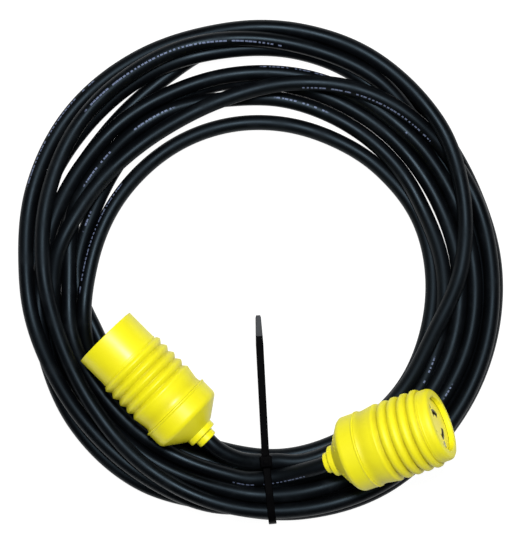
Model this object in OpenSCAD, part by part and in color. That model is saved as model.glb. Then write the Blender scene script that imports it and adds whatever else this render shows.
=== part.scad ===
// Shore power cord: a coiled 3-wire cord with a locking plug and a locking connector,
// each under a ribbed rubber boot, tied with one cable tie. Millimetres, +Z up.
// The origin is under the middle of the coil's footprint, on the surface it lies on.
// Each device has a local frame: its axis is +Z, from the nose (0) to the front rim.

/* [Cord] */
// Outside diameter of the cord's jacket
cord_d = 15.5; // [14.5:0.5:15.5]
// Outside radius of the coil
coil_r = 252; // [250:1:254]
// Radius of the coil's open middle
coil_hole_r = 164; // [160:1:166]
// Height of the coil where two turns lie on each other
coil_crown_h = 29; // [26:1:30]
// Height of the coil where the tie gathers it
coil_tied_h = 34; // [31:1:36]

/* [Rear boot] */
// Length of the rear boot, from the nose's end to the seam
boot_l = 47; // [46:0.5:48]
// Outside radius of the rear boot
boot_r = 37.5; // [37:0.5:38]
// Radius of the nose's last step, round the cord
nose_r = 10.4; // [10:0.1:12]
// Radius of the nose's wider step
nose_step_r = 15.3; // [14:0.1:17]

/* [Plug] */
// Length of the plug
plug_l = 144; // [143:0.5:146]
// Outside radius of the plug's front sleeve
sleeve_r = 33.8; // [33.5:0.1:34.2]
// Radius over the plug's ribs
plug_rib_r = 37.2; // [36:0.1:38]
// How far the sleeve slides back
sleeve_travel = 15.5; // [10:0.5:16]
// How far a blade stands out of the plug's face
blade_out = 17; // [15:0.5:17]

/* [Connector] */
// Length of the connector
connector_l = 124.5; // [124:0.5:126]
// Outside radius of the connector's front lip
lip_r = 35.8; // [35.5:0.1:36.5]
// Radius over the connector's ribs
connector_rib_r = 39.1; // [38:0.1:40]
// Radius of the opening in the lip
mouth_r = 26.8; // [26.8:0.1:27.5]
// How far the face sits behind the lip
face_recess = 5.5; // [5:0.5:6]
// How far the lip slides back
lip_travel = 10; // [6:0.5:10]

/* [Blades and slots] */
// Radius of the circle that the blades stand on
pitch_r = 12.3; // [12:0.1:12.6]
// Thickness of a blade
blade_t = 1.8; // [1.6:0.1:1.8]
// Angle that a blade covers
blade_span = 54; // [48:1:54]

/* [Cable tie] */
// Width of the strap
tie_w = 7.6; // [7:0.1:8]
// Thickness of the strap
tie_t = 1.5; // [1.2:0.1:1.6]

/* [Hidden] */
$fn = 96;
eps = 0.01;

// Where the two devices lie: the nose's end, the way the axis points, and its tilt
plug_nose = [-50, -166, 50];
plug_turn = 135;
plug_tilt = 0;
connector_nose = [66.5, -188, 57];
connector_turn = 22;
connector_tilt = 20;

// Places round a device's axis, in degrees from straight down
line_at = 300;
neutral_at = 180;
ground_at = 60;
screw_at = [90, 270];

// Sizes inside a device
cord_r = cord_d / 2;
jacket_end = 52;        // the jacket is cut off here
housing_r = 28.5;
housing_wall = 3.5;
housing_start = 46;
face_r = 26.3;
face_t = 14;            // the face's front disc
spigot_t = 8;           // the face's part inside the housing
screw_circle_r = 20.5;
block_t = 14;           // a terminal block's length
block_span = 34;
wire_r = 2.3;
wire_circle_r = 14.2;
bore_gap = 0.25;
boot_gap = 0.2;
plug_face_z = plug_l - blade_out - 5;
connector_face_z = connector_l - face_recess;

// Ribs: where the first one is, and the pitch
rib_count = 4;
plug_rib_z = 75.4;
plug_rib_pitch = 9.9;
connector_rib_z = 76.4;
connector_rib_pitch = 10.4;
rib_depth = 3.1;
sleeve_z = 108;         // rear end of the plug's sliding sleeve
lip_z = 112.5;          // rear end of the connector's sliding lip
sleeve_bore_r = 30.3;
sleeve_mouth_r = 30.8;
sleeve_mouth_l = 5;
lip_bore_r = 31;

// The coil
coil_y = 2;             // the tie stands out in front, so the coil is set back
coil_hole_y = -18;      // the turns bunch up in front, so the hole is off centre
crown_r = 206;          // inside of the second layer
crown_out_r = 249;
tied_in_r = 186;
tied_out_r = 250.5;
tied_turn = -111;       // the tied bundle starts here and covers this angle
tied_span = 43;

// The leads between the nose ends and the tied bundle
plug_lead = [
    [-50, -166, 50], [-45, -171, 50], [-34, -179, 48], [-21, -185, 45],
    [-8, -188, 40], [5, -189, 35], [20, -189, 31]
];
connector_lead = [
    [66.5, -188, 57], [60, -191, 55], [48, -195, 50], [36, -199, 44],
    [22, -203, 38], [6, -206, 34], [-12, -207, 31]
];

// The cable tie, in a frame at its head that is turned with the strap
tie_at = [6, -178.5, 0];
tie_turn = 6;
tie_deep = 75.5;        // over the bundle, from the inner to the outer side
tie_high = 45.6;
tie_round = 12;

// Direction of a device's local axes in the row's frame, and a point on its axis
function axis_of(turn, tilt) = [cos(tilt) * cos(turn), cos(tilt) * sin(turn), sin(tilt)];
function on_axis(nose, turn, tilt, z) = nose + z * axis_of(turn, tilt);

function unit(v) = v / norm(v);

// Tangent at point i of a route
function tangent(p, i) = unit(p[min(i + 1, len(p) - 1)] - p[max(i - 1, 0)]);

// Ring of points round point i of a route; up is a direction never along the route
function ring(p, i, r, sides, up) =
    let (t = tangent(p, i), a = unit(cross(up, t)), b = cross(t, a))
    [for (k = [0:sides - 1]) p[i] + r * (cos(360 * k / sides) * a + sin(360 * k / sides) * b)];

// A tube of radius r swept along the route p
module tube(p, r, sides, up = [0, 0, 1]) {
    n = len(p);
    points = [for (i = [0:n - 1]) each ring(p, i, r, sides, up)];
    walls = [for (i = [0:n - 2], k = [0:sides - 1])
        let (k2 = (k + 1) % sides)
        [i * sides + k, (i + 1) * sides + k, (i + 1) * sides + k2, i * sides + k2]];
    first = [for (k = [0:sides - 1]) k];
    last = [for (k = [sides - 1:-1:0]) (n - 1) * sides + k];
    polyhedron(points, concat([first], walls, [last]));
}

module at_plug() {
    translate(plug_nose) rotate([0, 90 - plug_tilt, plug_turn]) children();
}

module at_connector() {
    translate(connector_nose) rotate([0, 90 - connector_tilt, connector_turn]) children();
}

// A piece of a pipe about Z, from angle a over span, between radii r1 and r2
module sector(a, span, r1, r2, h) {
    rotate([0, 0, a]) rotate_extrude(angle = span) translate([r1, 0]) square([r2 - r1, h]);
}

// Points of one rib's outline, from its valley over its rounded peak
function rib(z, peak, pitch) = [
    [peak - rib_depth, z - pitch / 2], [peak - rib_depth + 0.7, z - pitch * 0.31],
    [peak - 0.7, z - pitch * 0.12], [peak, z - pitch * 0.04],
    [peak, z + pitch * 0.04], [peak - 0.7, z + pitch * 0.12],
    [peak - rib_depth + 0.7, z + pitch * 0.31]
];

// Ribbed part of a boot: a tongue under the rear boot, waist, shoulder, ribs
module bellows(peak, first_rib, pitch, end, end_r, bore_r) {
    waist = peak - 2.4;
    ribs = [for (i = [0:rib_count - 1]) each rib(first_rib + i * pitch, peak, pitch)];
    outside = concat(
        [[33.6, 40], [33.6, boot_l], [waist + 0.9, boot_l], [waist, boot_l + 3],
         [waist, boot_l + 6], [peak - 0.8, first_rib - pitch - 2], [peak, first_rib - pitch + 1]],
        ribs, [[end_r, end - 0.4], [end_r, end]]);
    inside = [[bore_r, end], [bore_r, 58], [housing_r + boot_gap, 56],
              [housing_r + boot_gap, 40]];
    rotate_extrude() polygon(concat(outside, inside));
}

// Rear boot: nose in two steps, cone, round body with a bead at the seam
module rear_boot() {
    rotate_extrude() polygon([
        [cord_r + bore_gap, 0], [nose_r - 0.6, 0], [nose_r, 0.6], [nose_r, 7],
        [nose_step_r, 7], [nose_step_r, 13.5], [nose_step_r + 1.5, 13.5],
        [boot_r - 1.6, 27.6], [boot_r - 0.4, 28.8], [boot_r, 30.3], [boot_r, boot_l - 2.4],
        [boot_r + 0.8, boot_l - 1.6], [boot_r + 0.8, boot_l - 0.6], [boot_r, boot_l],
        [34, boot_l], [34, 32], [30, 28.5], [14, 20], [cord_r + bore_gap, 20]
    ]);
}

// Housing: a cup with a hole for the cord and two bosses for the long screws
module housing(face_z) {
    front = face_z - face_t;
    difference() {
        union() {
            translate([0, 0, housing_start]) difference() {
                cylinder(r = housing_r, h = front - housing_start);
                translate([0, 0, 4])
                    cylinder(r = housing_r - housing_wall, h = front - housing_start);
            }
            for (a = screw_at) rotate([0, 0, a]) translate([screw_circle_r, 0, housing_start + 2])
                cylinder(r = 4, h = front - spigot_t - housing_start - 2.1, $fn = 48);
        }
        translate([0, 0, housing_start - 1]) cylinder(r = cord_r + 0.8, h = 6);
        for (a = screw_at) rotate([0, 0, a]) translate([screw_circle_r, 0, face_z - 53])
            cylinder(r = 2, h = 53, $fn = 48);
    }
}

// Holes of the face that both devices share, for the long screws
module face_blank(face_z) {
    difference() {
        union() {
            translate([0, 0, face_z - face_t]) cylinder(r = face_r, h = face_t);
            translate([0, 0, face_z - face_t - spigot_t])
                cylinder(r = housing_r - housing_wall - 0.3, h = spigot_t + eps);
        }
        for (a = screw_at) rotate([0, 0, a]) translate([screw_circle_r, 0, 0]) {
            cylinder(r = 2.1, h = face_z + 1, $fn = 48);
            translate([0, 0, face_z - 3]) cylinder(r = 3.6, h = 4, $fn = 48);
        }
    }
}

// A slot or blade on the pitch circle; the ground's has a hook towards the middle
module slot(a, z, h, w, span, hook = 0) {
    translate([0, 0, z]) sector(a - span / 2, span, pitch_r - w / 2, pitch_r + w / 2, h);
    if (hook > 0) rotate([0, 0, a + span / 2 - 5]) translate([pitch_r - hook, -w / 2, z])
        cube([hook, w, h]);
}

module assembly_screws(face_z) {
    for (a = screw_at) rotate([0, 0, a]) translate([screw_circle_r, 0, 0]) difference() {
        union() {
            translate([0, 0, face_z - 50]) cylinder(r = 1.95, h = 48, $fn = 48);
            translate([0, 0, face_z - 2.9]) cylinder(r = 3.3, h = 2.5, $fn = 48);
        }
        translate([-4, -0.5, face_z - 1.4]) cube([8, 1, 2]);
    }
}

// Brass terminal block behind the face, with a hole for its wire and one for its screw
module terminal_block(a, face_z) {
    back = face_z - face_t - spigot_t - block_t;
    difference() {
        translate([0, 0, back])
            sector(a - block_span / 2, block_span, pitch_r - 2, pitch_r + 6, block_t - 0.1);
        rotate([0, 0, a]) {
            translate([wire_circle_r, 0, back - 1]) cylinder(r = 1.7, h = 8, $fn = 32);
            translate([pitch_r - 3, 0, back + 9]) rotate([0, 90, 0])
                cylinder(r = 2.1, h = 10, $fn = 32);
        }
    }
}

module terminal_screws(face_z) {
    z = face_z - face_t - spigot_t - block_t + 9;
    for (a = [line_at, neutral_at, ground_at]) rotate([0, 0, a]) translate([0, 0, z])
        rotate([0, 90, 0]) difference() {
            union() {
                translate([0, 0, pitch_r + 0.3]) cylinder(r = 2, h = 7, $fn = 32);
                translate([0, 0, pitch_r + 6.1]) cylinder(r = 3.4, h = 2.4, $fn = 32);
            }
            translate([-4, -0.5, pitch_r + 7.4]) cube([8, 1, 2]);
        }
}

// Insulated wire from the jacket's end to its terminal block, with a bare end in the block
module wire(a, face_z) {
    back = face_z - face_t - spigot_t - block_t;
    rotate([0, 0, a]) union() {
        tube([[3.6, 0, jacket_end], [3.6, 0, 56], [4.6, 0, 60], [7, 0, 64], [10.5, 0, 69],
              [13.2, 0, 74], [wire_circle_r, 0, 79], [wire_circle_r, 0, back - 0.1]],
             wire_r, 8, [0, 1, 0]);
        translate([wire_circle_r, 0, back - 2]) cylinder(r = 1.5, h = 8, $fn = 24);
    }
}

// One half of the cord clamp; side is -1 above the cord and 1 below it
module clamp_half(side) {
    difference() {
        translate([side > 0 ? 0.6 : -13, -20, 35]) cube([12.4, 40, 10.9]);
        translate([0, 0, 34]) cylinder(r = cord_r + 0.05, h = 13);
        for (y = [-14, 14]) translate([-20, y, 40.5]) rotate([0, 90, 0])
            cylinder(r = side > 0 ? 2.05 : 2.2, h = 40, $fn = 32);
    }
}

module clamp_screws() {
    for (y = [-14, 14]) translate([0, y, 40.5]) rotate([0, 90, 0]) difference() {
        union() {
            translate([0, 0, -13.5]) cylinder(r = 2, h = 25, $fn = 32);
            translate([0, 0, -15.9]) cylinder(r = 3.6, h = 2.8, $fn = 32);
        }
        translate([-4, -0.5, -16.5]) cube([8, 1, 2]);
    }
}

// The plug

module plug_sleeve() {
    color("yellow") at_plug() rotate_extrude() polygon([
        [sleeve_bore_r, sleeve_z + 0.1], [sleeve_r, sleeve_z + 0.1], [sleeve_r, plug_l - 1],
        [sleeve_r - 1, plug_l], [sleeve_mouth_r, plug_l], [sleeve_mouth_r, plug_l - sleeve_mouth_l],
        [sleeve_bore_r, plug_l - sleeve_mouth_l]
    ]);
}

module plug_bellows() {
    color("yellow") at_plug()
        bellows(plug_rib_r, plug_rib_z, plug_rib_pitch, sleeve_z, sleeve_r, sleeve_bore_r);
}

module plug_rear_boot() { color("gold") at_plug() rear_boot(); }

module plug_housing() { color("dimgray") at_plug() housing(plug_face_z); }

module plug_face() {
    w = blade_t + 0.4;
    color("khaki") at_plug() difference() {
        face_blank(plug_face_z);
        for (a = [line_at, neutral_at]) slot(a, 0, plug_face_z + 1, w, blade_span + 2);
        slot(ground_at, 0, plug_face_z + 1, w, blade_span + 2, 3.6);
    }
}

module plug_blade(a, hook = 0) {
    z = plug_face_z - face_t - spigot_t;
    at_plug() union() {
        terminal_block(a, plug_face_z);
        slot(a, z - 2, blade_out + face_t + spigot_t + 2, blade_t, blade_span, hook);
    }
}

module plug_line_blade() { color("goldenrod") plug_blade(line_at); }
module plug_neutral_blade() { color("silver") plug_blade(neutral_at); }
module plug_ground_blade() { color("goldenrod") plug_blade(ground_at, 3); }
module plug_terminal_screws() { color("silver") at_plug() terminal_screws(plug_face_z); }
module plug_assembly_screws() { color("silver") at_plug() assembly_screws(plug_face_z); }
module plug_clamp_upper() { color("gray") at_plug() clamp_half(-1); }
module plug_clamp_lower() { color("gray") at_plug() clamp_half(1); }
module plug_clamp_screws() { color("silver") at_plug() clamp_screws(); }
module plug_line_wire() { color("black") at_plug() wire(line_at, plug_face_z); }
module plug_neutral_wire() { color("white") at_plug() wire(neutral_at, plug_face_z); }
module plug_ground_wire() { color("green") at_plug() wire(ground_at, plug_face_z); }

// The connector

module connector_lip() {
    l = connector_l;
    color("yellow") at_connector() rotate_extrude() polygon([
        [lip_bore_r, lip_z + 0.1], [lip_r, lip_z + 0.1], [lip_r, l - 3.2], [lip_r - 0.9, l - 1.2],
        [lip_r - 2.6, l - 0.2], [lip_r - 4, l], [mouth_r + 1.2, l], [mouth_r, l - 1],
        [mouth_r, connector_face_z + 0.1], [lip_bore_r, connector_face_z + 0.1]
    ]);
}

module connector_bellows() {
    color("yellow") at_connector()
        bellows(connector_rib_r, connector_rib_z, connector_rib_pitch, lip_z, lip_r, lip_bore_r);
}

module connector_rear_boot() { color("gold") at_connector() rear_boot(); }

module connector_housing() { color("dimgray") at_connector() housing(connector_face_z); }

module connector_face() {
    f = connector_face_z;
    color("khaki") at_connector() difference() {
        face_blank(f);
        for (a = [line_at, neutral_at]) slot(a, f - 4, 5, 3, blade_span + 4);
        slot(ground_at, f - 4, 5, 3, blade_span + 4, 4);
        for (a = [line_at, neutral_at, ground_at]) slot(a, 0, f - 3, 5.4, blade_span + 8);
    }
}

// Female contact: two spring leaves either side of the slot, and its terminal block
module connector_contact(a) {
    z = connector_face_z - face_t - spigot_t;
    gap = blade_t / 2 + 0.2;
    at_connector() union() {
        terminal_block(a, connector_face_z);
        translate([0, 0, z - 2]) sector(a - blade_span / 2, blade_span, pitch_r - gap - 0.8,
            pitch_r + gap + 0.8, 4);
        for (r = [pitch_r - gap - 0.8, pitch_r + gap])
            translate([0, 0, z]) sector(a - blade_span / 2, blade_span, r, r + 0.8,
                face_t + spigot_t - 3.5);
    }
}

module connector_line_contact() { color("goldenrod") connector_contact(line_at); }
module connector_neutral_contact() { color("silver") connector_contact(neutral_at); }
module connector_ground_contact() { color("goldenrod") connector_contact(ground_at); }
module connector_terminal_screws() {
    color("silver") at_connector() terminal_screws(connector_face_z);
}
module connector_assembly_screws() {
    color("silver") at_connector() assembly_screws(connector_face_z);
}
module connector_clamp_upper() { color("gray") at_connector() clamp_half(-1); }
module connector_clamp_lower() { color("gray") at_connector() clamp_half(1); }
module connector_clamp_screws() { color("silver") at_connector() clamp_screws(); }
module connector_line_wire() { color("black") at_connector() wire(line_at, connector_face_z); }
module connector_neutral_wire() {
    color("white") at_connector() wire(neutral_at, connector_face_z);
}
module connector_ground_wire() {
    color("green") at_connector() wire(ground_at, connector_face_z);
}

// The cord and its tie

// A lead's tube, from the jacket's cut end inside its device to the tied bundle
module lead(nose, turn, tilt, route) {
    inside = [for (z = [jacket_end, jacket_end / 2]) on_axis(nose, turn, tilt, z)];
    tube(concat(inside, route), cord_r, 12);
}

module cord_plug_lead() {
    color("black") lead(plug_nose, plug_turn, plug_tilt, plug_lead);
}

module cord_connector_lead() {
    color("black") lead(connector_nose, connector_turn, connector_tilt, connector_lead);
}

// Everything outside the tie's loop, over the strap's width, with flat corners
module outside_tie() {
    i = tie_t + 0.3;
    c = tie_round;
    translate(tie_at) rotate([0, 0, tie_turn]) translate([-tie_w / 2 - 0.5, 0, 0])
        rotate([90, 0, 90]) mirror([1, 0, 0]) linear_extrude(tie_w + 1) difference() {
            translate([-20, -20]) square([tie_deep + 40, tie_high + 40]);
            polygon([
                [c, i], [tie_deep - c, i], [tie_deep - i, c], [tie_deep - i, tie_high - c],
                [tie_deep - c, tie_high - i], [c, tie_high - i], [i, tie_high - c], [i, c]
            ]);
        }
}

// Outer shape of the coil: one layer all round, a second one on its outer part,
// and the bundle that the tie gathers, pressed in by the strap
module cord_coil() {
    color("black") difference() {
        translate([0, coil_y, 0]) union() {
            cylinder(r = coil_r, h = cord_d, $fn = 180);
            rotate_extrude($fn = 180) translate([crown_r, 0])
                square([crown_out_r - crown_r, coil_crown_h]);
            sector(tied_turn, tied_span, tied_in_r, tied_out_r, coil_tied_h);
        }
        translate([0, coil_hole_y, -1]) cylinder(r = coil_hole_r, h = coil_crown_h + 20, $fn = 180);
        outside_tie();
    }
}

// Outline of the tie's loop round the bundle, seen along the bundle: a rounded rectangle
module tie_outline(in) {
    r = tie_round - in;
    translate([in, in]) for (x = [0, 1], y = [0, 1])
        translate([r + x * (tie_deep - 2 * tie_round), r + y * (tie_high - 2 * tie_round)])
            circle(r = r);
    translate([tie_round, in]) square([tie_deep - 2 * tie_round, tie_high - 2 * in]);
    translate([in, tie_round]) square([tie_deep - 2 * in, tie_high - 2 * tie_round]);
}

module cable_tie() {
    color("black") translate(tie_at) rotate([0, 0, tie_turn]) union() {
        translate([-tie_w / 2, 0, 0]) rotate([90, 0, 90]) mirror([1, 0, 0])
            linear_extrude(tie_w) difference() {
                tie_outline(0);
                tie_outline(tie_t);
            }
        // Head, on top of the bundle's inner edge
        translate([-6, -14, tie_high - 1]) cube([12, 11, 7]);
        // Tail, straight on towards the middle of the coil
        translate([0, -5, tie_high + 2]) rotate([-2.5, 0, -3]) translate([-tie_w / 2, 0, -tie_t / 2])
            linear_extrude(tie_t) polygon([
                [0, 0], [tie_w, 0], [tie_w, 122], [tie_w - 1.6, 141],
                [1.6, 141], [0, 122]
            ]);
    }
}

plug_sleeve();
plug_bellows();
plug_rear_boot();
plug_housing();
plug_face();
plug_line_blade();
plug_neutral_blade();
plug_ground_blade();
plug_terminal_screws();
plug_assembly_screws();
plug_clamp_upper();
plug_clamp_lower();
plug_clamp_screws();
plug_line_wire();
plug_neutral_wire();
plug_ground_wire();
connector_lip();
connector_bellows();
connector_rear_boot();
connector_housing();
connector_face();
connector_line_contact();
connector_neutral_contact();
connector_ground_contact();
connector_terminal_screws();
connector_assembly_screws();
connector_clamp_upper();
connector_clamp_lower();
connector_clamp_screws();
connector_line_wire();
connector_neutral_wire();
connector_ground_wire();
cord_coil();
cord_plug_lead();
cord_connector_lead();
cable_tie();
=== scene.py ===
"""Looks of a coiled shore power cord with a booted plug and connector and one cable tie.

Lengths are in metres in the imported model's frame, and in millimetres where a name or a
comment says mm. The cord is laid first, at its full length, and everything else goes where
the CAD model says.
"""
import math

import bmesh
import bpy
import numpy as np
from mathutils import Matrix, Vector


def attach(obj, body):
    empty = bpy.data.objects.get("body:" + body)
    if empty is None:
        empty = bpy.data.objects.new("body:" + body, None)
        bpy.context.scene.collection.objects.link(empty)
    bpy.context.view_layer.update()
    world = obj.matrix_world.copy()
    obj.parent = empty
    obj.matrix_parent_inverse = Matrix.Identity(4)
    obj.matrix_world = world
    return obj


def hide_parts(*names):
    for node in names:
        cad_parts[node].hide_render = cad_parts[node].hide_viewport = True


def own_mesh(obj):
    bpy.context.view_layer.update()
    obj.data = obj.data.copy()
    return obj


MM = 0.001

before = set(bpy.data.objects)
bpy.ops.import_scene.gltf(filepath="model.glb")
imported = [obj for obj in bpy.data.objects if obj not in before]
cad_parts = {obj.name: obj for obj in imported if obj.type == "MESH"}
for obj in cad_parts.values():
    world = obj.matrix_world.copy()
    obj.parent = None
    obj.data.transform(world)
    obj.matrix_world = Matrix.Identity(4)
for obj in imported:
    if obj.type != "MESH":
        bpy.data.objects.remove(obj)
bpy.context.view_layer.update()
SCENE = bpy.context.scene

# ---------------------------------------------------------------- Driving sizes
CORD_D = 15.5 * MM
CORD_R = CORD_D / 2
COIL_CENTRE = np.array([0.0, 0.002])

# Each device: where its nose is, its direction from +X and its upward tilt in degrees, its
# length to the front rim, and its widest radius
PLUG_NOSE = Vector((-0.050, -0.166, 0.050))
PLUG_TURN = 135
PLUG_TILT = 0
PLUG_L = 144 * MM
PLUG_R = 37.5 * MM
CONNECTOR_NOSE = Vector((0.0665, -0.188, 0.057))
CONNECTOR_TURN = 22
CONNECTOR_TILT = 20
CONNECTOR_L = 124.5 * MM
CONNECTOR_R = 39 * MM

# Along a device, in mm from its nose
CORD_IN_MM = (0, 14, 28)               # the cord proper reaches this far in
JACKET_END_MM = (28, 36, 44, 52)       # and its last stretch of jacket this far
SLEEVE_MM = 108                        # rear end of the plug's sliding sleeve
LIP_MM = 112.5                         # rear end of the connector's sliding lip
FACE_PAINTED_SHADE_MM = (118.6, 118.95)         # painted shade on the connector's face below the first height, none above the second

# Painted shade on the connector's face at its slots, as dark marks: where they are, in degrees from
# straight down round its face, the radius of their circle, and how far they reach to each side
SLOT_AT = (300, 180, 60)
SLOT_CIRCLE = 12.8 * MM
SLOT_HALF_W = 3.0 * MM
SLOT_HALF_ANGLE = 30

# The cable tie: a point on the floor at the bundle's inner side, the strap's direction in
# degrees from +Y, and the sizes of its strap, its teeth and its free tail
TIE_AT = Vector((0.006, -0.1785, 0.0))
TIE_TURN = 6
TIE_W = 7.6 * MM
TIE_T = 1.5 * MM
TIE_HIGH = 45.6 * MM    # top of the strap's loop
TIE_TOOTH = 0.28 * MM
TIE_TOOTH_PITCH = 0.8 * MM
TAIL_L = 141 * MM
TAIL_TAPER_AT = 112 * MM
TAIL_TAPER_L = 29 * MM
TAIL_GRIP_AT = 120 * MM
TAIL_TIP = 2.4 * MM     # length of the bevelled tip

# ---------------------------------------------------------------- The cord's route
# Routes of the two ends, from the nose of each device to the tied bundle, in mm
PLUG_LEAD = [(-50, -166, 50), (-45, -171, 50), (-34, -179, 48), (-21, -185, 45),
             (-8, -188, 40), (5, -189, 35), (20, -189, 31)]
CONNECTOR_LEAD = [(66.5, -188, 57), (60, -191, 55), (48, -195, 50), (36, -199, 44),
                  (22, -203, 38), (6, -206, 34), (-12, -207, 31)]

# Nine turns, counter-clockwise from the plug to the connector. Each row has a point every
# 20 degrees, from 80 degrees before +X round to 260: the radius in mm, and the layer it
# lies in. They say how the turns wander and cross; lay_cord() settles them on each other.
STATIONS = np.arange(-80, 261, 20)
TURNS = [
    ([195.5, 193, 188, 186, 201, 216, 230, 239, 242, 243, 247, 248, 242, 232, 229, 231, 235, 236],
     [2, 2, 2, 2, 2, 3, 2, 1, 1, 1, 0.5, 1, 1, 2, 2, 2, 2, 1]),
    ([232, 235, 233, 229, 223, 216, 215, 226, 229, 232, 233.5, 232, 223, 213, 209, 214, 225, 235],
     [0, 0, 0, 0, 0, 0, 0, 1, 1, 2, 2, 2, 2, 3, 3, 3, 3, 3]),
    ([243, 248, 246, 241, 234, 228, 218, 206, 190, 176, 172, 177, 188, 204, 212, 215, 217, 220],
     [2, 1, 1, 1, 1, 1, 2, 1, 1, 1, 1, 1, 1, 1, 1, 1, 1, 2]),
    ([225, 226, 225, 222, 215, 208, 204, 201, 198, 197, 197, 200, 209, 218, 229, 242, 247, 241],
     [2, 1, 1, 1, 1, 1, 1, 0, 1, 1, 1, 1, 1, 1, 0, 0, 0, 0]),
    ([249, 254, 250, 245, 239, 231, 230, 236, 239, 231, 215, 208, 210.5, 213, 207, 209, 213, 213],
     [0, 0, 0, 0, 0, 0, 0, 0, 0, 0, 0, 0, 0, 0, 0, 0, 0, 0]),
    ([217, 215, 213, 210, 206, 200, 203, 220, 225, 225, 227, 228, 230, 227, 222, 223, 229, 227],
     [0, 0, 0, 0, 0, 0, 0, 0, 0, 1, 1, 0.5, 0, 0, 0, 0, 0, 0]),
    ([212, 213, 212, 209, 202, 194, 190, 188, 190, 193, 190, 181, 179, 187, 181, 178, 188, 194],
     [1, 1, 1, 1, 1, 1, 1, 0, 0, 0, 0, 0, 0, 0, 0, 0, 0, 0]),
    ([199, 198, 192, 184, 177, 170.5, 161, 153, 150, 150, 152, 156, 163, 172, 187, 194, 200, 203],
     [0, 0, 0, 0, 0, 0, 0, 0, 0, 0, 0, 0, 0, 1, 0.5, 0, 0, 0]),
    ([206, 205, 203, 193, 185, 175, 174, 174, 175, 176, 185, 190, 195.5, 190, 193.5, 201, 207, 208],
     [0, 0, 1, 0, 0.5, 0.7, 0.5, 0, 0, 0, 1, 1, 0.5, 0.5, 1, 1, 1, 2]),
]
LAYER_H = 13 * MM      # height of a layer whose turns lie in the gaps of the one below
END_GAP = 4            # degrees left out between a fixed end and the first station
END_HELD = 1           # degrees past a fixed end that are held as well
SLICE = 3.0            # the cord is settled in vertical slices this many degrees apart
FIRST_SLICE = -120     # they are counted from this angle
APART = CORD_D * 1.005     # two turns that are closer than this push each other away
ROUNDS = 1500
SOFT_ROUNDS = 0.85     # share of the rounds with strong forces; the last ones calm it down

# Pairs: in the soft rounds, and in the last ones
SINK = (0.12 * MM, 0.02 * MM)      # per round
PULL = (0.12, 0.03)                # share of the way to the asked radius
SMOOTH_R = (0.4, 0.4)              # share of the way to the middle of the neighbours
SMOOTH_Z = (0.35, 0.2)

DEVICE_GAP = 1 * MM    # kept between the cord and the devices that lie over it
NOSE_FREE = 16 * MM    # but not over this stretch from the nose, where the cord enters
MOUTH_CLEAR = 6 * MM   # the front rim keeps the cord away this far ahead of it as well
CONE_SHARE = 0.75      # the cone is thinner: at its start this share of the distance is kept
CONE_GROWTH = 18       # and this much more per metre, until it is all of it

PUT_AWAY = 9.0         # far outside, where places of the grid without cord are put
ROUTE_STEP = 5 * MM    # between rings of the finished tube

# Where the printed line on the jacket shows: the turn, from and to in degrees round the
# coil, and how far it is rolled at both. 0 faces up, 90 outwards and -90 inwards.
PRINT_SHOWN = [
    (0, 131, 160, 42, 42), (1, 83, 110, -42, -4), (1, 110, 137, -4, 12), (2, 36, 78, -48, -48),
    (3, -35, -31, 0, 0), (3, 43, 50, -10, -10), (3, 70, 90, 48, 45), (6, 161, 167, 10, 10),
    (7, 149, 188, 45, 40), (7, 250, 264, 0, 0), (8, -37, -26, 0, 0), (8, 66, 84, 5, 5),
    (8, 118, 155, 5, 5), (8, 263, 284, 42, 42),
]


def local_frame(nose, turn, tilt):
    """A device's frame: its axis is +Z, from the nose to the front rim, and +X points down."""
    return (Matrix.Translation(nose) @ Matrix.Rotation(math.radians(turn), 4, "Z")
            @ Matrix.Rotation(math.radians(90 - tilt), 4, "Y"))


PLUG = local_frame(PLUG_NOSE, PLUG_TURN, PLUG_TILT)
CONNECTOR = local_frame(CONNECTOR_NOSE, CONNECTOR_TURN, CONNECTOR_TILT)
PLUG_AXIS = PLUG.to_3x3() @ Vector((0, 0, 1))
CONNECTOR_AXIS = CONNECTOR.to_3x3() @ Vector((0, 0, 1))


def hermite(x, xs, ys):
    """A smooth curve through the points (xs, ys), at x."""
    i = np.clip(np.searchsorted(xs, x) - 1, 0, len(xs) - 2)
    h = xs[i + 1] - xs[i]
    t = (x - xs[i]) / h
    m = np.gradient(ys, xs)
    return ((2 * t**3 - 3 * t**2 + 1) * ys[i] + (t**3 - 2 * t**2 + t) * h * m[i]
            + (3 * t**2 - 2 * t**3) * ys[i + 1] + (t**3 - t**2) * h * m[i + 1])


def in_polar(route_mm, turn):
    """A route's angles, counted on from turn 0, its radii and its heights."""
    p = np.array(route_mm, float) * MM
    flat = p[:, :2] - COIL_CENTRE
    angle = np.degrees(np.arctan2(flat[:, 1], flat[:, 0])) + 360 * turn
    return angle, np.hypot(flat[:, 0], flat[:, 1]), p[:, 2]


def rough_route():
    """Angles, radii and heights that the cord is asked to take, and which are fixed."""
    a0, r0, z0 = in_polar(PLUG_LEAD, 0)
    a1, r1, z1 = (v[::-1] for v in in_polar(CONNECTOR_LEAD, len(TURNS)))
    angles, radii, heights = [a0], [r0], [z0]
    for k, (radius_mm, layer) in enumerate(TURNS):
        angle = STATIONS + 360 * k
        keep = (angle > a0[-1] + END_GAP) & (angle < a1[0] - END_GAP)
        angles.append(angle[keep])
        radii.append(np.array(radius_mm)[keep] * MM)
        heights.append(CORD_R + np.array(layer)[keep] * LAYER_H)
    xs, rs, zs = (np.concatenate(v) for v in (angles + [a1], radii + [r1], heights + [z1]))
    phi = np.arange(math.ceil(xs[0] / SLICE) * SLICE, xs[-1], SLICE)
    fixed = (phi <= a0[-1] + END_HELD) | (phi >= a1[0] - END_HELD)
    return phi, hermite(phi, xs, rs), np.maximum(hermite(phi, xs, zs), CORD_R), fixed


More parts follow.
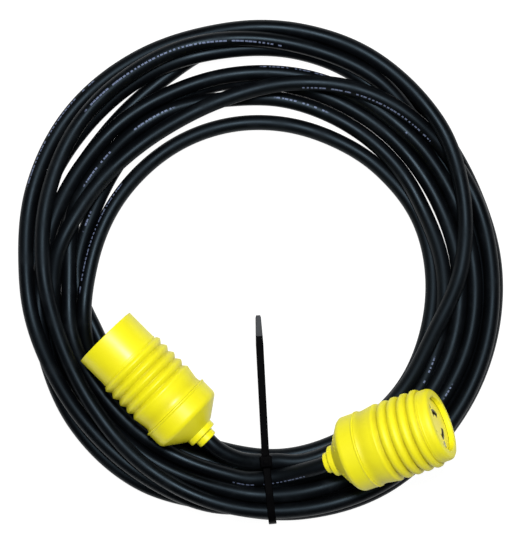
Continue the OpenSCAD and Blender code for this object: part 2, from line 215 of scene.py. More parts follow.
def push_off_devices(phi, r, z, free):
    """Moves the cord out of the space of the two devices that lie over it."""
    c, s = np.cos(np.radians(phi)), np.sin(np.radians(phi))
    points = np.stack([COIL_CENTRE[0] + r * c, COIL_CENTRE[1] + r * s, z], 1)
    devices = ((PLUG_NOSE, PLUG_AXIS, PLUG_L, PLUG_R),
               (CONNECTOR_NOSE, CONNECTOR_AXIS, CONNECTOR_L, CONNECTOR_R))
    for nose, axis, length, radius in devices:
        along = (points - np.array(nose)) @ np.array(axis)
        away = points - np.array(nose) - np.clip(along, 0, length)[:, None] * np.array(axis)
        distance = np.linalg.norm(away, axis=1) + 1e-9
        share = np.clip(CONE_SHARE + (along - NOSE_FREE) * CONE_GROWTH, CONE_SHARE, 1)
        beside = (along > NOSE_FREE) & (along < length + MOUTH_CLEAR)
        clear = np.where(beside, (radius + CORD_R + DEVICE_GAP) * share, 0)
        over = 0.5 * np.maximum(clear - distance, 0) * free / distance
        r = r + over * (away[:, 0] * c + away[:, 1] * s)
        z = z + over * away[:, 2]
    return r, z


def lay_cord():
    """Settles the turns on the floor and on each other, and returns the cord's centreline.

    Each vertical slice holds one point of every turn. In every round the points sink, are
    pulled towards their asked radius, push each other apart to one diameter, give way to
    the devices, and are smoothed along the cord."""
    phi, r, z, fixed = rough_route()
    asked = r.copy()
    free = np.where(fixed, 0.0, 1.0)
    slices = int(360 / SLICE)
    place = np.arange(len(phi)) + int(round((phi[0] - FIRST_SLICE) / SLICE))
    row, column = place // slices, place % slices
    row = row - row.min()
    count = row.max() + 1
    grid_r = np.repeat(PUT_AWAY + np.arange(count)[:, None], slices, 1)
    grid_z = grid_r.copy()
    same = np.eye(count, dtype=bool)[:, :, None]
    for done in range(ROUNDS):
        phase = 0 if done < SOFT_ROUNDS * ROUNDS else 1
        z = z - free * SINK[phase]
        r = r + free * (asked - r) * PULL[phase]
        for _ in range(2):
            grid_r[row, column] = r
            grid_z[row, column] = z
            dr = grid_r[:, None] - grid_r[None]
            dz = grid_z[:, None] - grid_z[None]
            distance = np.sqrt(dr * dr + dz * dz) + 1e-9
            near = (distance < APART) & ~same
            push = np.where(near, (APART - distance) * 0.5, 0) / distance
            share = 1 / np.sqrt(np.maximum(near.sum(1), 1))
            r = r + free * ((push * dr).sum(1) * share)[row, column]
            z = z + free * ((push * dz).sum(1) * share)[row, column]
        r, z = push_off_devices(phi, r, z, free)
        z = np.maximum(z, CORD_R)
        for _ in range(2):
            for values, rest, rate in ((r, asked, SMOOTH_R), (z, 0 * z, SMOOTH_Z)):
                bend = values - rest
                lean = np.zeros(len(phi))
                lean[1:-1] = (bend[:-2] + bend[2:]) / 2 - bend[1:-1]
                values += free * rate[phase] * lean
        z = np.maximum(z, CORD_R)
    c, s = np.cos(np.radians(phi)), np.sin(np.radians(phi))
    return np.stack([COIL_CENTRE[0] + r * c, COIL_CENTRE[1] + r * s, z], 1)


def resample(points, step):
    """Points about one step apart on a smooth curve through the given points."""
    s = np.concatenate([[0], np.cumsum(np.linalg.norm(np.diff(points, axis=0), axis=1))])
    at = np.linspace(0, s[-1], int(round(s[-1] / step)) + 1)
    return np.stack([hermite(at, s, points[:, k]) for k in range(3)], 1)


def in_device(place, *along_mm):
    """Points on a device's axis."""
    return [np.array(place @ Vector((0, 0, a * MM))) for a in along_mm]


# ---------------------------------------------------------------- Mesh helpers
def add_mesh(name, verts, faces, material, sharp=38):
    """A smooth mesh object, with edges sharper than the angle kept sharp."""
    mesh = bpy.data.meshes.new(name)
    mesh.from_pydata([tuple(v) for v in verts], [], [tuple(f) for f in faces])
    mesh.polygons.foreach_set("use_smooth", [True] * len(faces))
    mesh.set_sharp_from_angle(angle=math.radians(sharp))
    mesh.materials.append(material)
    mesh.update()
    obj = bpy.data.objects.new(name, mesh)
    SCENE.collection.objects.link(obj)
    return obj


def rounded(points, steps=5):
    """Rounds the corners of a closed outline. A point is (r, z) or (r, z, rounding)."""
    out = []
    n = len(points)
    for i, point in enumerate(points):
        here = np.array(point[:2], float)
        before = np.array(points[i - 1][:2], float) - here
        after = np.array(points[(i + 1) % n][:2], float) - here
        size = point[2] if len(point) > 2 else 0
        if size == 0:
            out.append(here)
            continue
        la, lb = np.linalg.norm(before), np.linalg.norm(after)
        reach = min(size, 0.48 * la, 0.48 * lb)
        start, end = here + before / la * reach, here + after / lb * reach
        for t in np.linspace(0, 1, steps + 1):
            out.append((1 - t)**2 * start + 2 * t * (1 - t) * here + t**2 * end)
    return np.array(out)


def ring_faces(rings, sides, closed):
    """Quads between rings of vertices, and from the last ring to the first if closed."""
    return [(i * sides + k, i * sides + (k + 1) % sides,
             (i + 1) % rings * sides + (k + 1) % sides, (i + 1) % rings * sides + k)
            for i in range(rings if closed else rings - 1) for k in range(sides)]


# The parting line: at which angles it runs, where extra columns of vertices shape it, its
# width, all in radians, and its height
PARTING_AT = (math.pi / 2, 3 * math.pi / 2)
PARTING_STEPS = (-0.026, -0.014, -0.007, 0.007, 0.014, 0.026)
PARTING_W = 0.009
PARTING_H_MM = 0.28


def lathe(name, outline_mm, place, material, peak_mm=None, sides=120):
    """Turns a closed outline of (r, z) in mm about a device's axis.

    A moulding's parting line, a fine raised line on both sides, runs along it. peak_mm gives the
    radius over the ribs. The vertex attribute "groove" goes from 0 at 1 mm below it to 1 at 4 mm
    below it, so that the material can paint dirt and shade there."""
    outline = rounded(outline_mm)
    angles = list(np.linspace(0, 2 * math.pi, sides, endpoint=False))
    for line in PARTING_AT:
        angles += [line + d for d in PARTING_STEPS]
    angles = np.array(sorted(set(np.round(angles, 5))))
    lift = np.zeros(len(angles))
    for line in PARTING_AT:
        lift += PARTING_H_MM * np.exp(-((angles - line) / PARTING_W)**2)
    middle = outline[:, 0].min() * 0.5 + outline[:, 0].max() * 0.5
    outer = outline[:, 0] > middle
    verts = []
    groove = []
    for (r, z), out in zip(outline, outer):
        radius = (r + (lift if out else 0 * lift)) * MM
        verts += [place @ Vector((radius[k] * math.cos(a), radius[k] * math.sin(a), z * MM))
                  for k, a in enumerate(angles)]
        depth = 0 if peak_mm is None else min(max((peak_mm - r - 1) / 3, 0), 1)
        groove += [depth] * len(angles)
    faces = ring_faces(len(outline), len(angles), True)
    after = np.roll(outline, -1, 0)
    if (outline[:, 0] * after[:, 1] - after[:, 0] * outline[:, 1]).sum() < 0:
        faces = [f[::-1] for f in faces]
    obj = add_mesh(name, verts, faces, material)
    obj.data.attributes.new("groove", "FLOAT", "POINT").data.foreach_set("value", groove)
    return obj


def rounded_box(name, size, bevel, place, material, segments=3):
    """A box with rounded edges; size and bevel in metres."""
    bm = bmesh.new()
    bmesh.ops.create_cube(bm, size=1)
    bmesh.ops.scale(bm, vec=size, verts=bm.verts)
    bmesh.ops.bevel(bm, geom=bm.edges[:], offset=bevel, segments=segments, affect="EDGES",
                    profile=0.5)
    bmesh.ops.transform(bm, matrix=place, verts=bm.verts)
    mesh = bpy.data.meshes.new(name)
    bm.to_mesh(mesh)
    bm.free()
    mesh.polygons.foreach_set("use_smooth", [True] * len(mesh.polygons))
    mesh.set_sharp_from_angle(angle=math.radians(50))
    mesh.materials.append(material)
    obj = bpy.data.objects.new(name, mesh)
    SCENE.collection.objects.link(obj)
    return obj


def join(name, parts):
    """Replaces mesh objects with one that holds all of them."""
    bm = bmesh.new()
    for part in parts:
        bm.from_mesh(part.data)
    mesh = bpy.data.meshes.new(name)
    bm.to_mesh(mesh)
    bm.free()
    for part in parts:
        for material in part.data.materials:
            if material.name not in mesh.materials:
                mesh.materials.append(material)
        bpy.data.objects.remove(part)
    obj = bpy.data.objects.new(name, mesh)
    SCENE.collection.objects.link(obj)
    return obj


# ---------------------------------------------------------------- Materials
def colour(red, green, blue):
    """A screen colour, 0 to 255, as the shader wants it."""
    def linear(v):
        v = v / 255
        return v / 12.92 if v <= 0.04045 else ((v + 0.055) / 1.055)**2.4
    return (linear(red), linear(green), linear(blue), 1.0)


YELLOW = colour(230, 223, 24)
YELLOW_DEEP = colour(222, 212, 20)
# dirt and painted shade in the grooves
YELLOW_DIRT_AND_SHADE = colour(150, 136, 12)
YELLOW_RUBBED = colour(236, 230, 96)
JACKET = colour(2, 2, 3)
JACKET_PALE = colour(6, 7, 9)
JACKET_DUST = colour(84, 90, 96)
JACKET_SHEEN = colour(200, 232, 255)
PRINT_INK = colour(170, 186, 228)
FACE_YELLOW = colour(236, 222, 40)
FACE_YELLOW_PALE = colour(246, 236, 66)
# painted shade of the connector's slots
SLOT_PAINTED_SHADE = colour(52, 48, 16)

PRINT_STRENGTH = 0.3
DASH_PITCH = 4.3 * MM
DASH_GROUP = 31 * MM


class Shader:
    """Builds one material's nodes. An input is a plain value or another node's output."""

    def __init__(self, name):
        self.material = bpy.data.materials.new(name)
        self.material.use_nodes = True
        self.tree = self.material.node_tree
        self.surface = self.tree.nodes["Principled BSDF"]

    def node(self, kind, **inputs):
        """A new node. A name that starts with _ is a setting, any other is an input."""
        made = self.tree.nodes.new(kind)
        for key, value in inputs.items():
            if key.startswith("_"):
                setattr(made, key[1:], value)
            else:
                self.put(made.inputs[key.replace("_", " ")], value)
        return made

    def put(self, socket, value):
        if isinstance(value, bpy.types.NodeSocket):
            self.tree.links.new(value, socket)
        else:
            socket.default_value = value

    def set(self, **values):
        """Sets inputs of the surface."""
        for key, value in values.items():
            self.put(self.surface.inputs[key.replace("_", " ")], value)

    def math(self, operation, a, b=0.0, c=0.0):
        made = self.tree.nodes.new("ShaderNodeMath")
        made.operation = operation
        for socket, value in zip(made.inputs, (a, b, c)):
            self.put(socket, value)
        return made.outputs[0]

    def place(self, stretch=(1, 1, 1)):
        """Coordinates fixed to the object, in metres."""
        where = self.node("ShaderNodeTexCoord").outputs["Object"]
        return self.node("ShaderNodeMapping", Vector=where, Scale=stretch).outputs[0]

    def noise(self, scale, where, detail=3.0, rough=0.55):
        return self.node("ShaderNodeTexNoise", Vector=where, Scale=scale, Detail=detail,
                         Roughness=rough).outputs["Fac"]

    def span(self, value, low, high, to_low=0.0, to_high=1.0):
        """The value's place between low and high, mapped to another span."""
        return self.node("ShaderNodeMapRange", Value=value, From_Min=low, From_Max=high,
                         To_Min=to_low, To_Max=to_high).outputs[0]

    def mix(self, share, a, b):
        """Colour a where share is 0, and b where it is 1."""
        made = self.tree.nodes.new("ShaderNodeMix")
        made.data_type = "RGBA"
        self.put(made.inputs[0], share)
        self.put(made.inputs[6], a)
        self.put(made.inputs[7], b)
        return made.outputs[2]

    def bump(self, height, distance, strength=1.0, under=None):
        """A rough surface, over another bump if under is given."""
        made = self.node("ShaderNodeBump", Height=height, Distance=distance, Strength=strength)
        if under is not None:
            self.put(made.inputs["Normal"], under)
        return made.outputs[0]


def yellow_rubber(name, grain, gloss):
    """Lemon-yellow moulded rubber with a fine grain, dirt and painted shade in its grooves, and
    faint rubs.
    """
    s = Shader(name)
    where = s.place()
    cloud = s.noise(22, where, 4)
    fine = s.noise(2600, where, 2)
    rub = s.span(s.noise(60, s.place((1, 1, 3)), 6, 0.7), 0.62, 0.8)
    tone = s.mix(s.span(cloud, 0.3, 0.75), YELLOW, YELLOW_DEEP)
    groove = s.node("ShaderNodeAttribute", _attribute_name="groove").outputs["Fac"]
    # Dirt and painted shade: the grooves are darkened, unevenly.
    dirt_and_shade = s.math("MULTIPLY", groove, s.span(s.noise(45, where, 5), 0.25, 0.8, 0.3, 0.7))
    tone = s.mix(dirt_and_shade, tone, YELLOW_DIRT_AND_SHADE)
    tone = s.mix(s.math("MULTIPLY", rub, 0.18), tone, YELLOW_RUBBED)
    rough = s.span(cloud, 0.3, 0.7, gloss - 0.05, gloss + 0.06)
    rough = s.math("ADD", rough, s.math("MULTIPLY", rub, 0.12))
    normal = s.bump(fine, grain * MM)
    normal = s.bump(s.noise(180, where, 3), 0.05 * MM, 0.6, normal)
    s.set(Base_Color=tone, Roughness=rough, Normal=normal, IOR=1.5, Specular_IOR_Level=0.36)
    return s.material


def jacket():
    """Black rubber jacket: fine lengthwise draw lines, dusty rubs, and a faint row of dashes
    where the tube's attribute "ink" is 1."""
    s = Shader("cord_jacket")
    uv = s.node("ShaderNodeUVMap", _uv_map="lay").outputs[0]
    along = s.node("ShaderNodeMapping", Vector=uv, Scale=(18, 900, 1)).outputs[0]
    lines = s.noise(1, along, 4)
    where = s.place()
    fine = s.noise(2200, where, 3)
    patch = s.noise(9, where, 5)
    dust = s.span(s.noise(34, where, 7, 0.72), 0.52, 0.8)
    print_uv = s.node("ShaderNodeUVMap", _uv_map="print").outputs[0]
    split = s.node("ShaderNodeSeparateXYZ", Vector=print_uv)
    u, v = split.outputs[0], split.outputs[1]
    shown = s.node("ShaderNodeAttribute", _attribute_name="ink").outputs["Fac"]
    ink = s.math("MULTIPLY", s.math("MULTIPLY", dashes(s, u, v), shown), PRINT_STRENGTH)
    tone = s.mix(s.span(patch, 0.3, 0.7), JACKET, JACKET_PALE)
    tone = s.mix(s.math("MULTIPLY", dust, 0.04), tone, JACKET_DUST)
    tone = s.mix(ink, tone, PRINT_INK)
    rough = s.math("ADD", s.span(patch, 0.35, 0.65, 0.34, 0.52), s.math("MULTIPLY", dust, 0.14))
    normal = s.bump(lines, 0.05 * MM, 0.5)
    normal = s.bump(fine, 0.03 * MM, 0.6, normal)
    s.set(Base_Color=tone, Roughness=rough, Normal=normal, IOR=1.5,
          Specular_Tint=JACKET_SHEEN, Specular_IOR_Level=0.16)
    return s.material


def dashes(s, u, v):
    """Plain dashes of uneven length along the cord, in groups with gaps between them."""
    cell = s.math("DIVIDE", u, DASH_PITCH)
    count = s.math("FLOOR", cell)
    pick = s.node("ShaderNodeTexWhiteNoise", _noise_dimensions="1D", W=count).outputs["Value"]
    inside = s.math("FRACT", cell)
    long_enough = s.math("LESS_THAN", inside, s.span(pick, 0, 1, 0.3, 0.92))
    kept = s.math("GREATER_THAN", pick, 0.12)
    group = s.math("FLOOR", s.math("DIVIDE", u, DASH_GROUP))
    shown = s.node("ShaderNodeTexWhiteNoise", _noise_dimensions="1D", W=group).outputs["Value"]
    shown = s.math("GREATER_THAN", shown, 0.08)
    band = s.span(s.math("ABSOLUTE", v), 0.6 * MM, 1.0 * MM, 1, 0)
    mask = s.math("MULTIPLY", s.math("MULTIPLY", long_enough, kept), shown)
    return s.math("MULTIPLY", mask, band)


def moulded_shader(name, base, other, rough, grain=0.02, scale=1500, shine=0.5):
    """Any moulded part: two close tones, uneven gloss and a fine grain."""
    s = Shader(name)
    where = s.place()
    cloud = s.noise(70, where, 5)
    tone = s.mix(s.span(cloud, 0.3, 0.7), base, other)
    normal = s.bump(s.noise(scale, where, 3), grain * MM)
    s.set(Base_Color=tone, Roughness=s.span(cloud, 0.3, 0.7, rough - 0.06, rough + 0.08),
          Normal=normal, Specular_IOR_Level=shine)
    return s


def moulded(name, *looks, **more):
    """The same, as a finished material."""
    return moulded_shader(name, *looks, **more).material


def slotted_face():
    """The connector's nylon face, with painted shade in and next to its slots and below its front.
    """
    s = moulded_shader("connector_face_nylon", FACE_YELLOW, FACE_YELLOW_PALE, 0.42)
    off = s.node("ShaderNodeVectorMath", _operation="SUBTRACT")
    s.put(off.inputs[0], s.node("ShaderNodeTexCoord").outputs["Object"])
    off.inputs[1].default_value = CONNECTOR_NOSE

    def along(axis):
        dot = s.node("ShaderNodeVectorMath", _operation="DOT_PRODUCT")
        s.put(dot.inputs[0], off.outputs[0])
        dot.inputs[1].default_value = axis
        return dot.outputs["Value"]

    turned = CONNECTOR.to_3x3()
    x, y = along(turned.col[0]), along(turned.col[1])
    radius = s.math("SQRT", s.math("MULTIPLY_ADD", x, x, s.math("MULTIPLY", y, y)))
    # Painted shade: the face darkens below its front and on a mark round each slot.
    low, high = FACE_PAINTED_SHADE_MM
    painted_shade = s.span(along(CONNECTOR_AXIS), low * MM, high * MM, 1, 0)
    off_circle = s.math("ABSOLUTE", s.math("SUBTRACT", radius, SLOT_CIRCLE))
    on_circle = s.math("LESS_THAN", off_circle, SLOT_HALF_W)
    least = math.cos(math.radians(SLOT_HALF_ANGLE))
    for degrees in SLOT_AT:
        a = math.radians(degrees)
        facing = s.math("MULTIPLY_ADD", x, math.cos(a), s.math("MULTIPLY", y, math.sin(a)))
        near = s.math("GREATER_THAN", s.math("DIVIDE", facing, radius), least)
        painted_shade = s.math("MAXIMUM", painted_shade, s.math("MULTIPLY", near, on_circle))
    face_tone = s.surface.inputs["Base Color"].links[0].from_socket
    s.set(Base_Color=s.mix(painted_shade, face_tone, SLOT_PAINTED_SHADE))
    return s.material


def brushed(name, base, other, rough):
    """Metal with fine scratches."""
    s = Shader(name)
    where = s.place((1, 1, 14))
    scratch = s.noise(420, where, 4, 0.7)
    tone = s.mix(s.span(s.noise(120, s.place(), 4), 0.3, 0.75), base, other)
    s.set(Base_Color=tone, Roughness=s.span(scratch, 0.3, 0.7, rough - 0.08, rough + 0.12),
          Normal=s.bump(scratch, 0.01 * MM), Metallic=1.0)
    return s.material


# The looks, by the record's material names. "yellow_matt" is the connector's yellow rubber,
# and both faces are moulded in yellow nylon.
MATERIALS = {
    "yellow_rubber": yellow_rubber("yellow_plug_rubber", 0.012, 0.4),
    "yellow_matt": yellow_rubber("yellow_connector_rubber", 0.06, 0.5),
    "black_rubber": jacket(),
    "black_nylon": moulded("black_nylon_moulding", colour(30, 30, 32), colour(44, 44, 47), 0.5),
    "white_nylon": moulded("yellow_nylon_face", FACE_YELLOW, FACE_YELLOW_PALE, 0.42),
    "brass": brushed("brass_bright", colour(214, 172, 92), colour(186, 140, 66), 0.32),
    "plated_brass": brushed("brass_plated", colour(206, 204, 198), colour(184, 180, 170), 0.26),
    "steel": brushed("steel_zinc", colour(186, 190, 196), colour(160, 163, 168), 0.34),
    "wire_black": moulded("wire_black_skin", colour(26, 26, 28), colour(38, 38, 40), 0.42),
    "wire_white": moulded("wire_white_skin", colour(226, 226, 222), colour(206, 206, 200), 0.42),
    "wire_green": moulded("wire_green_skin", colour(38, 132, 62), colour(30, 112, 52), 0.42),
    "tie_nylon": moulded("tie_nylon_black", colour(1, 1, 2), colour(4, 4, 5), 0.6, 0.03,
                         shine=0.02),
    "tie_grip": moulded("tie_grip_worn", colour(22, 23, 25), colour(58, 61, 66), 0.5, 0.05,
                        shine=0.15),
}


# ---------------------------------------------------------------- Camera, floor and light
CAMERA_AT = (0.00204, -0.0031, 1.53)
HALF_VIEW = 0.2805     # half the width of the picture at floor level
FLOOR_Z = -0.6 * MM
FLOOR_REACH = 6
FLOOR_GLOW = 0.97


def make_camera():
    """Straight down from above the middle of the coil."""
    data = bpy.data.cameras.new("camera")
    data.lens = data.sensor_width / 2 / (HALF_VIEW / CAMERA_AT[2])
    data.clip_end = 50
    camera = bpy.data.objects.new("camera", data)
    camera.location = CAMERA_AT
    SCENE.collection.objects.link(camera)
    SCENE.camera = camera


def area_light(name, location, size, power):
    """A soft light that faces the middle of the coil."""
    data = bpy.data.lights.new(name, "AREA")
    data.shape = "DISK"
    data.size = size
    data.energy = power
    light = bpy.data.objects.new(name, data)
    light.location = location
    light.rotation_mode = "QUATERNION"
    light.rotation_quaternion = (-Vector(location)).to_track_quat("-Z", "Y")
    SCENE.collection.objects.link(light)


def make_studio():
    """A white light table, a soft overhead light and an even surround."""
    floor_material = moulded("floor_white", (0.12, 0.12, 0.12, 1), (0.14, 0.14, 0.14, 1), 0.85,
                             0.01, 300, shine=0)
    glow = floor_material.node_tree.nodes["Principled BSDF"].inputs
    glow["Emission Color"].default_value = (1, 1, 1, 1)
    glow["Emission Strength"].default_value = FLOOR_GLOW
    corners = [(x * FLOOR_REACH, y * FLOOR_REACH, FLOOR_Z)
               for x, y in ((-1, -1), (1, -1), (1, 1), (-1, 1))]
    floor = add_mesh("floor", corners, [(0, 1, 2, 3)], floor_material)
    area_light("key", (0.06, 0.36, 1.6), 0.34, 31)
    area_light("fill", (0.0, 0.0, 2.6), 1.6, 10)
    world = bpy.data.worlds.new("surround")
    world.use_nodes = True
    background = world.node_tree.nodes["Background"].inputs
    background["Color"].default_value = (0.92, 0.96, 1.0, 1)
    background["Strength"].default_value = 0.06
    SCENE.world = world
    SCENE.view_settings.view_transform = "Standard"


# ---------------------------------------------------------------- The cord
def printed_line(points):
    """At each point, how far the printed line is rolled, in degrees, and whether it shows."""
    flat = points[:, :2] - COIL_CENTRE
    angle = np.degrees(np.unwrap(np.arctan2(flat[:, 1], flat[:, 0])))
    at, roll = [], []
    shown = np.zeros(len(points))
    for turn, first, last, start, end in PRINT_SHOWN:
        at += [360 * turn + first, 360 * turn + last]
        roll += [start, end]
        shown[(angle > at[-2]) & (angle < at[-1])] = 1
    return np.interp(angle, at, roll), shown


def make_tube(name, points, material, sides=20):
    """The cord's jacket, closed at both ends.

    The UV map "lay" runs along and round it. "print" is the same, counted from the printed
    line, and the vertex attribute "ink" is 1 where that line shows."""
    tangent = np.gradient(points, axis=0)
    tangent /= np.linalg.norm(tangent, axis=1)[:, None]
    out = np.cross(tangent, [0, 0, 1])
    out /= np.linalg.norm(out, axis=1)[:, None]
    up = np.cross(out, tangent)
    turn = np.radians(np.arange(sides) * 360 / sides - 180)
    ring = (up[:, None] * np.cos(turn)[None, :, None]
            + out[:, None] * np.sin(turn)[None, :, None])
    verts = (points[:, None] + CORD_R * ring).reshape(-1, 3)
    n = len(points)
    i, k = np.meshgrid(np.arange(n - 1), np.arange(sides), indexing="ij")
    i, k = i.ravel(), k.ravel()
    here, after, k2 = i * sides, (i + 1) * sides, (k + 1) % sides
    quads = np.stack([here + k, here + k2, after + k2, after + k], 1)
    caps = [list(range(sides)), list(range((n - 1) * sides, n * sides))[::-1]]
    obj = add_mesh(name, verts, quads.tolist() + caps, material, 60)
    s = np.concatenate([[0], np.cumsum(np.linalg.norm(np.diff(points, axis=0), axis=1))])
    roll, shown = printed_line(points)
    ink = obj.data.attributes.new("ink", "FLOAT", "POINT")
    ink.data.foreach_set("value", np.repeat(shown, sides))
    step = 360 / sides
    corner_i = np.stack([i, i, i + 1, i + 1], 1)
    corner_a = np.stack([k, k + 1, k + 1, k], 1) * step - 180
    off = corner_a - roll[corner_i]
    off -= 360 * np.round(off[:, :1] / 360)
    on_caps = np.zeros((2 * sides, 2))
    for map_name, v in (("lay", corner_a), ("print", off)):
        layer = obj.data.uv_layers.new(name=map_name)
        uv = np.stack([s[corner_i], np.radians(v) * CORD_R], -1).reshape(-1, 2)
        layer.data.foreach_set("uv", np.concatenate([uv, on_caps]).ravel())
    return obj


def make_cord():
    """The whole cord, from inside the plug to inside the connector, and its centreline."""
    points = np.concatenate([in_device(PLUG, *CORD_IN_MM[::-1]), lay_cord(),
                             in_device(CONNECTOR, *CORD_IN_MM)])
    points = resample(points, ROUTE_STEP)
    cord = make_tube("cord", points, MATERIALS["black_rubber"])
    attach(cord, "cord_set")
    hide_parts("cord_coil", "cord_plug_lead", "cord_connector_lead")
    return cord, points


def make_jacket_ends():
    """The last stretch of jacket inside each device, through the cord clamp."""
    for name, place in (("plug", PLUG), ("connector", CONNECTOR)):
        points = resample(np.array(in_device(place, *JACKET_END_MM)), 4 * MM)
        end = make_tube(f"{name}_jacket_end", points, MATERIALS["black_rubber"])
        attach(end, "cord_set")


# ---------------------------------------------------------------- The boots
def rear_boot_outline():
    """Nose in two steps, cone, round body and a bead at the seam, in mm."""
    return [
        (8.0, 0, 0.4), (9.9, 0, 0.8), (10.4, 1.0, 0.6), (10.4, 7.0, 0.5), (15.3, 7.0, 1.2),
        (15.3, 13.5, 0.6), (17.0, 13.6, 0.8), (36.2, 27.6, 2.4), (37.5, 30.6, 1.5),
        (37.5, 44.4, 0.8), (38.3, 45.3, 0.5), (38.3, 46.5, 0.5), (37.4, 47.0, 0.3),
        (34.0, 47.0), (34.0, 32.0), (30.0, 28.5), (14.0, 20.0), (8.0, 20.0),
    ]


def bellows_outline(peak, first_rib, pitch, end, end_r, bore, deep, keen):
    """Waist, shoulder and four ribs, in mm.

    peak is the ribs' radius, deep the grooves' depth and end the length from the nose.
    Keen ribs are narrow at the top, others are round."""
    waist = peak - 2.4
    high, low = (0.3, 0.72) if keen else (0.16, 0.55)
    outline = [(bore, end), (bore, 58), (28.7, 56), (28.7, 40), (33.6, 40), (33.6, 47.1),
               (waist + 0.9, 47.1, 0.4), (waist, 50, 1.5), (waist, 53, 3),
               (peak - 0.7, first_rib - pitch - 2.2, 2.2), (peak, first_rib - pitch + 1, 1.2)]
    for i in range(4):
        z = first_rib + i * pitch
        outline += [(peak - deep, z - pitch / 2, 0.5),
                    (peak - deep * low, z - pitch * 0.39, 0.9),
                    (peak - deep * high, z - pitch * 0.2, 1.4),
                    (peak, z, 0.9 if keen else 1.6),
                    (peak - deep * high, z + pitch * 0.2, 1.4),
                    (peak - deep * low, z + pitch * 0.39, 0.9)]
    return outline + [(end_r, end - 1.6, 0.8), (end_r, end)]


def cone_marks(name, place, material):
    """Small plain raised dashes round the rear cone, in four groups of five."""
    parts = []
    on_cone = (Matrix.Translation((27.0 * MM, 0, 20.9 * MM))
               @ Matrix.Rotation(math.radians(-36.4), 4, "Y"))
    for start in (-64, 24, 118, 206):
        for k in range(5):
            spot = Matrix.Rotation(math.radians(start + k * 9), 4, "Z") @ on_cone
            size = Vector((3.0, 1.1 + 0.7 * (k % 2), 0.7)) * MM
            parts.append(rounded_box("mark", size, 0.18 * MM, place @ spot, material, 2))
    return join(name, parts)


def make_plug_boot():
    """Rear boot and ribs stay with the cord, the ribs with a mesh of their own, and the sleeve goes
    with its own body, which slides back.
    """
    rubber = MATERIALS["yellow_rubber"]
    rear = lathe("plug_rear_boot_rubber", rear_boot_outline(), PLUG, rubber)
    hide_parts("plug_rear_boot")
    peak = 37.2
    outline = bellows_outline(peak, 75.4, 9.9, SLEEVE_MM, 33.8, 30.3, 3.5, True)
    ribs = lathe("plug_bellows_rubber", outline, PLUG, rubber, peak)
    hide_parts("plug_bellows")
    sleeve = lathe("plug_sleeve_rubber", [
        (30.3, 108.05), (33.8, 108.05), (33.8, 109.2, 0.4), (34.15, 109.8, 0.3),
        (34.15, 111.0, 0.3), (33.8, 111.8, 0.5), (33.8, 144, 0.9), (30.9, 144, 0.7),
        (30.8, 139, 0.3), (30.3, 138.4, 0.3)], PLUG, rubber)
    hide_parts("plug_sleeve")
    for piece in (rear, ribs):
        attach(piece, "cord_set")
    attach(sleeve, "plug_sleeve_body")
    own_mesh(ribs)


def make_connector_boot():
    """The same with the connector's lip, and plain marks on the cone."""
    rubber = MATERIALS["yellow_matt"]
    rear = lathe("connector_rear_boot_rubber", rear_boot_outline(), CONNECTOR, rubber)
    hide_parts("connector_rear_boot")
    marks = cone_marks("connector_cone_marks", CONNECTOR, rubber)
    peak = 39.1
    outline = bellows_outline(peak, 76.4, 10.4, LIP_MM, 35.8, 31, 4.3, False)
    ribs = lathe("connector_bellows_rubber", outline, CONNECTOR, rubber, peak)
    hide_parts("connector_bellows")
    lip = lathe("connector_lip_rubber", [
        (31, 112.55), (35.8, 112.55), (35.8, 113.6, 0.5), (36.1, 114.4, 0.4), (35.8, 115.4, 0.8),
        (35.8, 120.6, 2.4), (33.9, 124.0, 2.0), (28.2, 124.5, 0.8), (26.8, 123.3, 0.7),
        (26.8, 119.1, 0.3), (31, 119.1)], CONNECTOR, rubber)
    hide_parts("connector_lip")
    for piece in (rear, ribs, marks):
        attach(piece, "cord_set")
    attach(lip, "connector_lip_body")
    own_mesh(ribs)


# ---------------------------------------------------------------- The cable tie
def hull_of(points):
    """Convex hull of points in a plane, counter-clockwise."""
    points = sorted(set(map(tuple, np.round(points, 7))))

    def turns_left(a, b, c):
        return (b[0] - a[0]) * (c[1] - a[1]) - (b[1] - a[1]) * (c[0] - a[0]) > 0

    def half(run):
        chain = []
        for p in run:
            while len(chain) > 1 and not turns_left(chain[-2], chain[-1], p):
                chain.pop()
            chain.append(p)
        return chain[:-1]

    return np.array(half(points) + half(points[::-1]))


def strap_loop(cord_points, place):
    """The strap's middle line round the bundle, in the tie's own frame (y, z).

    It is the rounded hull of every strand that crosses the tie's plane on the bundle's side
    of the coil. At the outer side it stands off by up to 2.6 mm, and it stays over the floor."""
    turned = np.array(place.inverted().to_3x3())
    local = (turned @ (cord_points - np.array(place.translation)).T).T
    cross = (local[:-1, 0] * local[1:, 0] <= 0) & (local[:-1, 1] < 20 * MM)
    reach = CORD_R + TIE_T / 2 + 0.15 * MM
    circle = np.radians(np.arange(0, 360, 7.5))
    around = []
    for a, b in zip(local[:-1][cross], local[1:][cross]):
        centre = a + (b - a) * (a[0] / (a[0] - b[0]))
        around += [(centre[1] + reach * math.cos(t), centre[2] + reach * math.sin(t))
                   for t in circle]
    loop = hull_of(np.array(around))
    loop = np.concatenate([loop, loop[:1]])
    s = np.concatenate([[0], np.cumsum(np.linalg.norm(np.diff(loop, axis=0), axis=1))])
    at = np.linspace(0, s[-1], 121)[:-1]
    line = np.stack([np.interp(at, s, loop[:, 0]), np.interp(at, s, loop[:, 1])], 1)
    for _ in range(6):
        line = (np.roll(line, 1, 0) + 2 * line + np.roll(line, -1, 0)) / 4
    line[:, 0] -= 2.6 * MM * np.clip((-45 * MM - line[:, 0]) / (22 * MM), 0, 1)
    line[:, 1] = np.maximum(line[:, 1], TIE_T / 2 + 0.05 * MM)
    return line


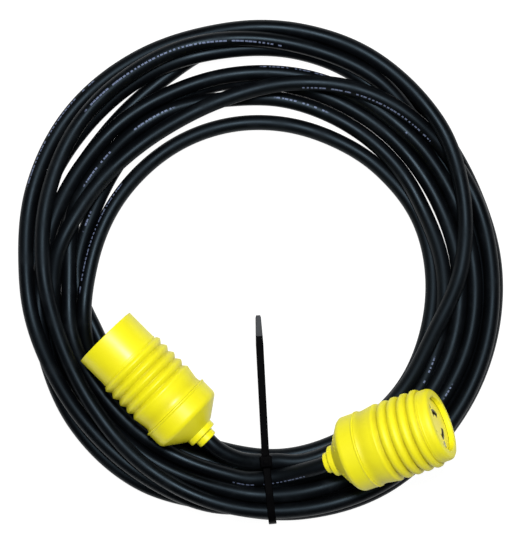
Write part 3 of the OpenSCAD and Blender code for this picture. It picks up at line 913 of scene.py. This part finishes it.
def strap_section(width, thick):
    """Outline of a strap: flat, with thicker rounded edges."""
    w, t = width / 2, thick / 2
    return [(-w + 0.5 * MM, -t), (-w + 1.2 * MM, -t * 0.72), (w - 1.2 * MM, -t * 0.72),
            (w - 0.5 * MM, -t), (w, -t * 0.4), (w, t * 0.4), (w - 0.5 * MM, t),
            (w - 1.2 * MM, t * 0.8), (-w + 1.2 * MM, t * 0.8), (-w + 0.5 * MM, t),
            (-w, t * 0.4), (-w, -t * 0.4)]


def make_loop(line, place, material):
    """The closed strap round the bundle."""
    section = strap_section(TIE_W, TIE_T)
    ahead = np.roll(line, -1, 0) - np.roll(line, 1, 0)
    ahead /= np.linalg.norm(ahead, axis=1)[:, None]
    verts = []
    for (y, z), (ty, tz) in zip(line, ahead):
        verts += [place @ Vector((u, y + v * tz, z - v * ty)) for u, v in section]
    faces = ring_faces(len(line), len(section), True)
    return add_mesh("cable_tie_loop", verts, faces, material, 40)


def make_tail(place, material, grip):
    """The tail: teeth under it, and a grip with cross ridges at its tapered end."""
    tail = (place @ Matrix.Translation((0, -5 * MM, TIE_HIGH + 2 * MM))
            @ Matrix.Rotation(math.radians(-3), 4, "Z")
            @ Matrix.Rotation(math.radians(-2.5), 4, "X"))
    count = int(TAIL_L / TIE_TOOTH_PITCH) + 1
    sides = len(strap_section(TIE_W, TIE_T))
    verts, grip_from = [], count
    for i in range(count):
        y = i * TIE_TOOTH_PITCH
        taper = min(max((y - TAIL_TAPER_AT) / TAIL_TAPER_L, 0), 1)
        width = TIE_W - 2.2 * MM * taper
        if y > TAIL_L - TAIL_TIP:
            width -= 1.6 * MM * (y - TAIL_L + TAIL_TIP) / TAIL_TIP
        on_grip = y > TAIL_GRIP_AT
        grip_from = min(grip_from, i) if on_grip else grip_from
        tooth = TIE_TOOTH * (i % 2)
        for k, (u, v) in enumerate(strap_section(width, TIE_T)):
            if k in (1, 2):
                v -= tooth
            if on_grip and k in (7, 8):
                v += 0.9 * tooth
            verts.append(tail @ Vector((u, y, v)))
    faces = ring_faces(count, sides, False)
    faces += [tuple(range(sides))[::-1], tuple(range((count - 1) * sides, count * sides))]
    obj = add_mesh("cable_tie_tail", verts, faces, material, 30)
    obj.data.materials.append(grip)
    for polygon in obj.data.polygons:
        if polygon.index >= grip_from * sides:
            polygon.material_index = 1
    return obj


def make_tie(cord_points):
    """Loop, head with its pawl, and tail."""
    nylon = MATERIALS["tie_nylon"]
    place = Matrix.Translation(TIE_AT) @ Matrix.Rotation(math.radians(TIE_TURN), 4, "Z")
    loop = make_loop(strap_loop(cord_points, place), place, nylon)
    head = rounded_box("cable_tie_head", (12 * MM, 11 * MM, 7 * MM), 1.3 * MM,
                       place @ Matrix.Translation((0, -8.5 * MM, TIE_HIGH + 2.5 * MM)), nylon, 4)
    pawl = rounded_box("cable_tie_pawl", (5.6 * MM, 4.4 * MM, 1.4 * MM), 0.4 * MM,
                       place @ Matrix.Translation((0, -9.2 * MM, TIE_HIGH + 6 * MM)), nylon)
    tail = make_tail(place, nylon, MATERIALS["tie_grip"])
    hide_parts("cable_tie")
    for piece in (loop, head, pawl, tail):
        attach(piece, "cord_set")


# ---------------------------------------------------------------- The CAD pieces that show
def dress_cad_nodes():
    """Gives the CAD nodes the detailed materials, and the connector's face its painted shade at the
    slots.
    """
    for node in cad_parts.values():
        for used in node.material_slots:
            name = used.material.name.split(".")[0]
            if name in MATERIALS:
                used.material = MATERIALS[name]
    face = slotted_face()
    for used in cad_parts["connector_face"].material_slots:
        used.material = face


make_camera()
cord, CORD_POINTS = make_cord()
make_jacket_ends()
make_plug_boot()
make_connector_boot()
make_tie(CORD_POINTS)
dress_cad_nodes()
make_studio()
